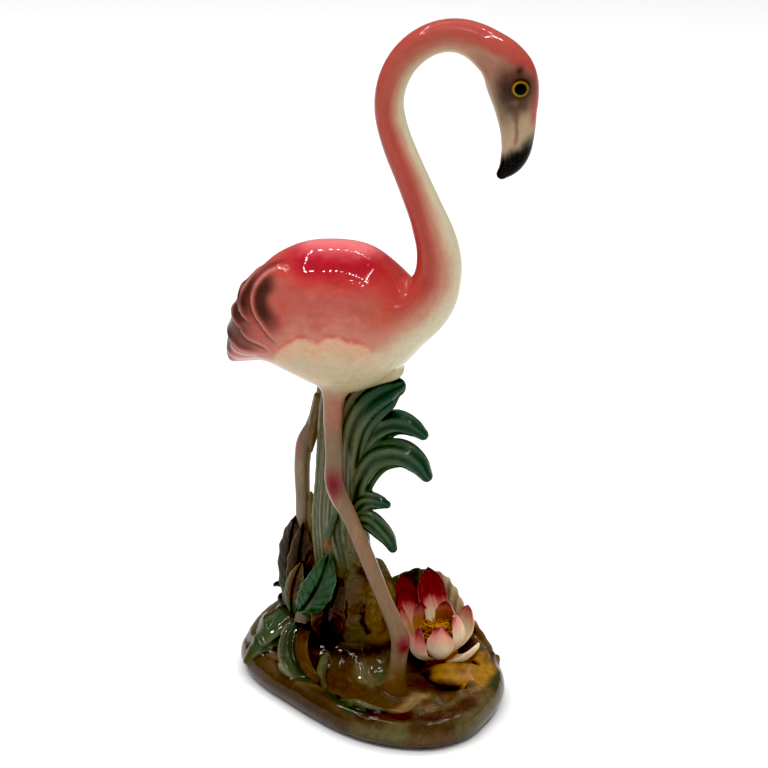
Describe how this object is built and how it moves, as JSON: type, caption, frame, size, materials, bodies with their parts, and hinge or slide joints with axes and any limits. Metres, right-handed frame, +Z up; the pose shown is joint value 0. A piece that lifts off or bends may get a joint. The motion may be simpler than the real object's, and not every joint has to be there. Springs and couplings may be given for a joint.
{
  "type": "ceramic flamingo statue",
  "caption": "Glazed ceramic flamingo standing on a planted oval base, with fern, upright leaves, pools and a water lily, cast and fired as one piece.",
  "frame": {"origin": "middle of the flat underside that the statue stands on", "axes": "+Z up; +X the way the bird faces; +Y the bird's left"},
  "size_m": [0.1507, 0.1058, 0.3384],
  "materials": {
    "glazed_ceramic": "clear gloss glaze over airbrushed underglaze colours: salmon red and cream bird, teal fern, brown and olive base, crimson and cream water lily"
  },
  "bodies": {
    "root": {"flamingo_statue": "glazed_ceramic"}
  },
  "joints": []
}
